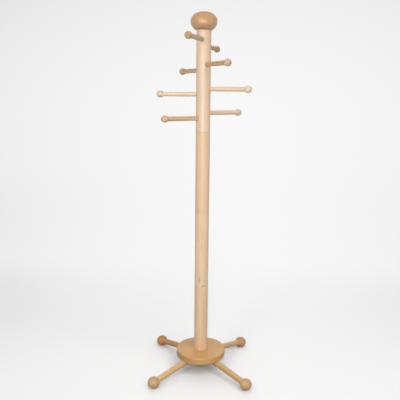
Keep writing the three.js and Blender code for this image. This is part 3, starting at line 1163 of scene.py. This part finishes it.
def flat_grain(azimuth):
    """Turns a level grain direction upright, as the log's is."""
    return (Matrix.Rotation(math.radians(-90), 3, "Y")
            @ Matrix.Rotation(math.radians(-azimuth), 3, "Z")).to_euler()


def leg_bores():
    bores = []
    for number in LEGS:
        leg = leg_spindle(number)
        bores.append((leg.origin, leg.origin + leg.direction * (leg.high + CLEARANCE)))
    return bores


def wide_edge(radius, height, easing, start, end):
    return arc(radius - easing, height, easing, start, end, WIDE_STEPS)


def disc_profile(disc):
    bore = hole_for(spindle("pole_lower", below=disc.high))
    rim = disc.radius - DISC_EASING
    low = disc.low + DISC_EASING
    high = disc.high - DISC_EASING
    return [
        *level(bore, rim, disc.low)[:-1],
        *wide_edge(disc.radius, low, DISC_EASING, -90, 0),
        *upright(disc.radius, low, high, FACE_SPACING)[1:-1],
        *wide_edge(disc.radius, high, DISC_EASING, 0, 90),
        *level(rim, bore, disc.high)[1:],
        *upright(bore, disc.high, disc.low, FACE_SPACING)[1:],
    ]


def hub_profile(hub):
    washer = spindle("base_washer")
    bolt_hole = hole_for(spindle("lower_joint_bolt"))
    recess = washer.radius + RECESS_CLEARANCE
    recess_top = washer.high + CLEARANCE
    low = hub.low + HUB_EASING
    return [
        *level(recess, hub.radius - HUB_EASING, hub.low)[:-1],
        *wide_edge(hub.radius, low, HUB_EASING, -90, 0),
        *upright(hub.radius, low, hub.high, FACE_SPACING)[1:],
        *level(hub.radius, bolt_hole, hub.high)[1:],
        (bolt_hole, recess_top),
        (recess, recess_top),
        (recess, hub.low),
    ]


print("holes for the legs:", len(leg_bores()))

# %% Turning the base
def turn_base():
    legs = {"bores": leg_bores(), "bore_radius": hole_for(leg_spindle(1))}
    return [
        turn("base_disc", disc_profile(spindle("base_disc")), "beech_base", sides=DISC_SIDES,
             grain=flat_grain(DISC_GRAIN), **legs),
        turn("base_hub", hub_profile(spindle("base_hub")), "beech_base", sides=WIDE_SIDES,
             grain=flat_grain(HUB_GRAIN), tone=HUB_TONE, **legs),
    ]


report("base:", turn_base())

# %% [markdown]
# ## The hardware
#
# None of it shows once the rack stands, except the head of the base screw from underneath. It is
# made all the same, because the rack comes apart there. The bolts have a fine machine thread from
# end to end, the inserts have a coarse one that bites into the wood, and the screw's head has a
# ribbed side and a hexagon socket.

# %% Threads, inserts and the base screw
MACHINE_PITCH = 1.5 * MM
MACHINE_DEPTH = 0.8 * MM
WOOD_PITCH = 3.5 * MM
WOOD_DEPTH = 1.1 * MM
THREAD_POINTS = 6               # points of the profile in one pitch
TIP_EASING = 0.8 * MM
RING_EASING = 0.3 * MM
HEAD_HEIGHT = 10 * MM
HEAD_RIBS = 32
RIB_DEPTH = 0.35 * MM
KEY_WIDTH = 8 * MM
KEY_DEPTH = 5 * MM
BOLT_SIDES = 24
INSERT_SIDES = 48


def threaded(radius, low, high, pitch, depth):
    """A threaded stretch, whose thread runs out at both ends."""
    points = upright(radius, low, high, pitch / THREAD_POINTS)
    return [(r, h, depth * min(1, (h - low) / pitch, (high - h) / pitch)) for r, h in points]


def bolt_profile(bolt):
    low = bolt.low + TIP_EASING
    high = bolt.high - TIP_EASING
    return [
        (0, bolt.low),
        (bolt.radius - TIP_EASING, bolt.low),
        *threaded(bolt.radius, low, high, MACHINE_PITCH, MACHINE_DEPTH),
        (bolt.radius - TIP_EASING, bolt.high),
        (0, bolt.high),
    ]


def ring_profile(ring, hole, side):
    """A ring with a given side, closed round its hole."""
    return [
        (hole, ring.low),
        (ring.radius - RING_EASING, ring.low),
        *side,
        (ring.radius - RING_EASING, ring.high),
        (hole, ring.high),
        (hole, ring.low),
    ]


def insert_profile(insert, hole):
    side = threaded(insert.radius, insert.low + RING_EASING, insert.high - RING_EASING,
                    WOOD_PITCH, WOOD_DEPTH)
    return ring_profile(insert, hole, side)


def washer_profile(washer, hole):
    side = [(washer.radius, washer.low + RING_EASING), (washer.radius, washer.high - RING_EASING)]
    return ring_profile(washer, hole, side)


def screw_profile(screw, shank):
    """Head down: the ribbed head, a plain shank and the threaded end."""
    seat = screw.low + HEAD_HEIGHT
    thread_start = (seat + screw.high) / 2
    head_side = upright(screw.radius, screw.low + TIP_EASING, seat - TIP_EASING, FINE_SPACING)
    return [
        (0, screw.low),
        (screw.radius - TIP_EASING, screw.low),
        *[(r, h, 0, RIB_DEPTH) for r, h in head_side],
        (screw.radius - RING_EASING, seat),
        (shank, seat),
        *threaded(shank, thread_start, screw.high - TIP_EASING, MACHINE_PITCH, MACHINE_DEPTH),
        (shank - TIP_EASING, screw.high),
        (0, screw.high),
    ]


print("pitch of the bolts in mm:", MACHINE_PITCH / MM, "and of the inserts:", WOOD_PITCH / MM)

# %% Turning the hardware
def turn_steel(node, profile, **inputs):
    return turn(node, profile, "steel_hardware", **inputs)


def turn_insert(node, hole):
    return turn_steel(node, insert_profile(spindle(node), hole), sides=INSERT_SIDES,
                      thread_pitch=WOOD_PITCH)


def turn_hardware():
    bolt = spindle("lower_joint_bolt")
    hole = hole_for(bolt)
    made = []
    for joint in ("lower", "middle", "upper"):
        node = f"{joint}_joint_bolt"
        made.append(turn_steel(node, bolt_profile(spindle(node)), sides=BOLT_SIDES,
                               thread_pitch=MACHINE_PITCH))
        made.append(turn_insert(f"{joint}_joint_insert", hole))
    made.append(turn_insert("base_insert", hole))
    made.append(turn_steel("base_washer", washer_profile(spindle("base_washer"), hole),
                           sides=SLIM_SIDES))
    screw = spindle("base_screw")
    key = (UP * (screw.low - KEY_DEPTH), UP * (screw.low + KEY_DEPTH))
    made.append(turn_steel("base_screw", screw_profile(screw, bolt.radius),
                           sides=4 * HEAD_RIBS, thread_pitch=MACHINE_PITCH, rib_count=HEAD_RIBS,
                           bores=[key], bore_radius=KEY_WIDTH / math.sqrt(3), bore_sides=6))
    return made


report("hardware:", turn_hardware())

# %% [markdown]
# ## Light
#
# The light is that of a small product studio with white paper all round. One frosted lamp stands
# straight in front of the rack, where the pole hides its own shadow and the finial shows a small
# highlight. It may stand in the camera's way, because a camera doesn't see lamps. A weaker one
# stands high on the left. Both are near, so the foot of the rack gets less of them than its head.
# Three wide lamps far off fill in, and leave the soft shadow under the disc: one above, one above
# on the right, and one behind, so that the back is as pleasant to look at as the front. The world
# stands for the light that the walls give back. Together they are plain: a colour shows about as
# it is written.
#
# Area lamps would do as well for the near ones. A point lamp with a radius is a glowing ball, the
# same from every side, and its light on the floor is easy to work out, which the paper needs. The
# far lamps are suns spread wide, and they are kept out of the gloss: each would lie on the lacquer
# as a second, blurred highlight, where a real room shows only the one lamp.

# %% Lamps
NearLamp = namedtuple("NearLamp", "name azimuth distance height power radius")
FarLamp = namedtuple("FarLamp", "name azimuth elevation strength width")

NEAR_LAMPS = (
    NearLamp("in_front", -90, 2.3, 1.3, 77, 0.14),
    NearLamp("high_left", -120, 2.3, 1.9, 47, 0.40),
)
FAR_LAMPS = (
    FarLamp("above", -90, 75, 0.20, 40),
    FarLamp("above_right", -50, 52, 0.83, 40),
    FarLamp("behind", 95, 42, 0.70, 60),
)


def lamp_place(lamp):
    return place(lamp.azimuth, lamp.distance, lamp.height)


def hang_near_lamp(lamp):
    hung = new_object(lamp.name, bpy.data.lights.new(lamp.name, "POINT"))
    hung.data.energy = lamp.power
    hung.data.shadow_soft_size = lamp.radius
    hung.location = lamp_place(lamp)


def hang_far_lamp(lamp):
    hung = new_object(lamp.name, bpy.data.lights.new(lamp.name, "SUN"))
    hung.data.energy = lamp.strength
    hung.data.angle = math.radians(lamp.width)
    towards = direction(lamp.azimuth, lamp.elevation)
    hung.rotation_euler = towards.to_track_quat("Z", "Y").to_euler()
    hung.visible_glossy = False


for lamp in NEAR_LAMPS:
    hang_near_lamp(lamp)
for lamp in FAR_LAMPS:
    hang_far_lamp(lamp)
print("lamps:", len(NEAR_LAMPS) + len(FAR_LAMPS))

# %% The world
WORLD_LIGHT = 0.38
PAPER_GREY = colour("d8d8d8")


def seen_rays(start):
    """One for the rays whose result is seen: from the camera, in a gloss or through glass."""
    camera = start.node("ShaderNodeLightPath", output="Is Camera Ray")
    total = camera + camera.other("Is Glossy Ray") + camera.other("Is Transmission Ray")
    return total.math("MINIMUM", 1.0)


def mix_shaders(share, first, second):
    return share.node("ShaderNodeMixShader", {}, {0: share, 1: first, 2: second})


def light_world():
    world = bpy.data.worlds.new("studio")
    world.use_nodes = True
    world.node_tree.nodes.clear()
    start = Wire(world.node_tree)
    light = start.node("ShaderNodeBackground", {},
                       {"Color": (1, 1, 1, 1), "Strength": WORLD_LIGHT})
    shown = start.node("ShaderNodeBackground", {}, {"Color": PAPER_GREY, "Strength": 1.0})
    final = mix_shaders(seen_rays(start), light, shown)
    start.node("ShaderNodeOutputWorld", {}, {"Surface": final}, output=None)
    bpy.context.scene.world = world


light_world()
bpy.context.scene.view_settings.view_transform = "Standard"
print("the world lights with", WORLD_LIGHT, "and shows", round(PAPER_GREY[0], 2))

# %% [markdown]
# ## The paper
#
# The rack stands on a pale sweep of paper that fades from a bright middle to slightly greyer
# edges, with a soft grey band behind the rack where the paper begins to rise. The bright middle is
# a painted pool of light, and the greyer edges and the band are painted shade. The floor is a real
# surface that takes the shadows. The wall behind it only has to look right to the camera and in
# reflections, so it glows faintly instead of being lit, and it lets all light through. The floor
# fades into that same glow where no shadow falls. The grey levels off towards the edges instead
# of stopping at a line, and the world has the same grey, so no end of the paper is seen.
#
# Near lamps light a floor unevenly, so its paper is a little paler where less light reaches it,
# which a studio would do by moving its lamps. Floor and wall are seen through from behind, so
# that the rack can be looked at from any side and from below.

# %% How bright the paper looks
# the paper's painted light and shade run from this white to the grey
PAPER_WHITE = colour("f8f8f8")
GREY_AMOUNT = 0.88
BRIGHT_MIDDLE = 0.25            # how far right of the rack the paper is brightest
BRIGHT_WIDTH = 2.3
BRIGHT_SPREAD = 0.42            # how much wider the bright part is for each metre further back
BRIGHT_SLANT = 0.04             # how much further right for each metre away from the band
BRIGHT_FRONT = 0.2              # no narrower in front of this line
FADE_START = 1.0                # the height from which the wall turns grey
FADE_HEIGHT = 2.9               # and how much further up it is fully grey
WALL_SHARE = 0.3                # how much less grey the sides are on the wall than on the floor
TOP_SHARE = 0.7                 # and how much more at its top
# the band is painted shade where the paper begins to rise
BAND_PLACE = 0.75               # the grey band's middle, depth and height
BAND_DEPTH = 1.1
BAND_HEIGHT = 0.5
BAND_PAINTED_SHADE = 0.13
BAND_SPREAD = 0.12              # how much greyer the band is towards its ends
LEVELLING = 3                   # the higher, the more suddenly the grey levels off


def bump(value, centre, width):
    """One at the centre, falling smoothly to nothing at the width."""
    share = (1 - ((value - centre) / width) ** 2).clamp()
    return share * share


def paper_painted_light(start):
    """The paper's brightness by where a point lies: a painted pool of light in the middle, painted
    shade at the edges and in the band.
    """
    x, y, z = start.node("ShaderNodeTexCoord", output="Object").split()
    middle = (y - BAND_PLACE).math("ABSOLUTE") * BRIGHT_SLANT + BRIGHT_MIDDLE
    width = y.math("MAXIMUM", BRIGHT_FRONT) * BRIGHT_SPREAD + BRIGHT_WIDTH
    upwards = ((z - FADE_START).math("MAXIMUM", 0.0) / FADE_HEIGHT) ** 2
    share = 1 - (z / BAND_HEIGHT).clamp() * WALL_SHARE + upwards * TOP_SHARE
    sides = ((x - middle) / width) ** 2 * share
    band = bump(y, BAND_PLACE, BAND_DEPTH) * bump(z, 0.0, BAND_HEIGHT)
    away = sides + upwards + band * (x * x * BAND_SPREAD + BAND_PAINTED_SHADE)
    grey = away * GREY_AMOUNT
    levelled = grey / (grey ** LEVELLING + 1) ** (1 / LEVELLING)
    return blend(levelled, PAPER_WHITE, PAPER_GREY)


print("linear values of the paper:", round(PAPER_GREY[0], 2), "to", round(PAPER_WHITE[0], 2))

# %% Materials of the floor and the wall
FLOOR_RADIUS = 4.0
SHADOWED_RADIUS = 1.6
BOUNCE_GREY = (0.27, 0.27, 0.27, 1.0)


def open_from_behind(start, shader):
    """Hides the back of a sheet."""
    behind = start.node("ShaderNodeNewGeometry", output="Backfacing")
    clear = start.node("ShaderNodeBsdfTransparent")
    final = mix_shaders(behind, shader, clear)
    start.node("ShaderNodeOutputMaterial", {}, {"Surface": final}, output=None)


def light_on_open_floor(spot):
    """How bright white paper would be, lying flat at a place with nothing near it."""
    far = sum(lamp.strength * direction(0, lamp.elevation).z for lamp in FAR_LAMPS)
    total = WORLD_LIGHT + far / math.pi
    for lamp in NEAR_LAMPS:
        reach = spot.vector("SUBTRACT", lamp_place(lamp)).length()
        total = lamp.power * lamp.height / (4 * math.pi ** 2) * reach ** -3 + total
    return total


def floor_material():
    material, start = new_material("paper_floor")
    glow = paper_painted_light(start)
    spot = start.node("ShaderNodeTexCoord", output="Object")
    paper = (light_on_open_floor(spot) ** -1).times(glow)
    shadowed = start.node("ShaderNodeBsdfDiffuse", {}, {"Color": paper})
    shining = start.node("ShaderNodeEmission", {}, {"Color": glow})
    far = ((spot.length() - SHADOWED_RADIUS) / (FLOOR_RADIUS - SHADOWED_RADIUS)).clamp()
    seen = mix_shaders(far, shadowed, shining)
    bounce = start.node("ShaderNodeBsdfDiffuse", {}, {"Color": BOUNCE_GREY})
    open_from_behind(start, mix_shaders(seen_rays(start), bounce, seen))
    return material


def wall_material():
    material, start = new_material("paper_wall")
    open_from_behind(start, start.node("ShaderNodeEmission", {}, {"Color": paper_painted_light(start)}))
    return material


print("the floor takes shadows out to metres:", SHADOWED_RADIUS)

# %% Floor and wall
WALL_TOP = 4.2
SWEEP = 0.6
SWEEP_STEPS = 16
FIRST_RING = 0.02
FLOOR_SPACING = 0.4
SHEET_SIDES = 128

sheet_tree, sheet = geometry_tree("sheet", LATHE_INPUTS)
hand_out(shade(turning_stage(sheet), "FACE", True), sheet["finish"])


def stage_sheet(name, profile, material):
    """A sheet of revolution, whose faces point up and inwards."""
    made = run_tree(name, profile, sheet_tree,
                    {"sides": SHEET_SIDES, "thread_pitch": 1.0, "finish": material})
    made.data.flip_normals()
    return made


floor = stage_sheet("floor", [
    (0, 0),
    *stretch((FIRST_RING, 0), (FLOOR_RADIUS, 0), FLOOR_SPACING),
], floor_material())
wall = stage_sheet("wall", [
    *arc(FLOOR_RADIUS, SWEEP, SWEEP, -90, 0, SWEEP_STEPS),
    (FLOOR_RADIUS + SWEEP, WALL_TOP),
], wall_material())
wall.visible_diffuse = False
wall.visible_shadow = False
print("floor faces:", len(floor.data.polygons), "wall faces:", len(wall.data.polygons))
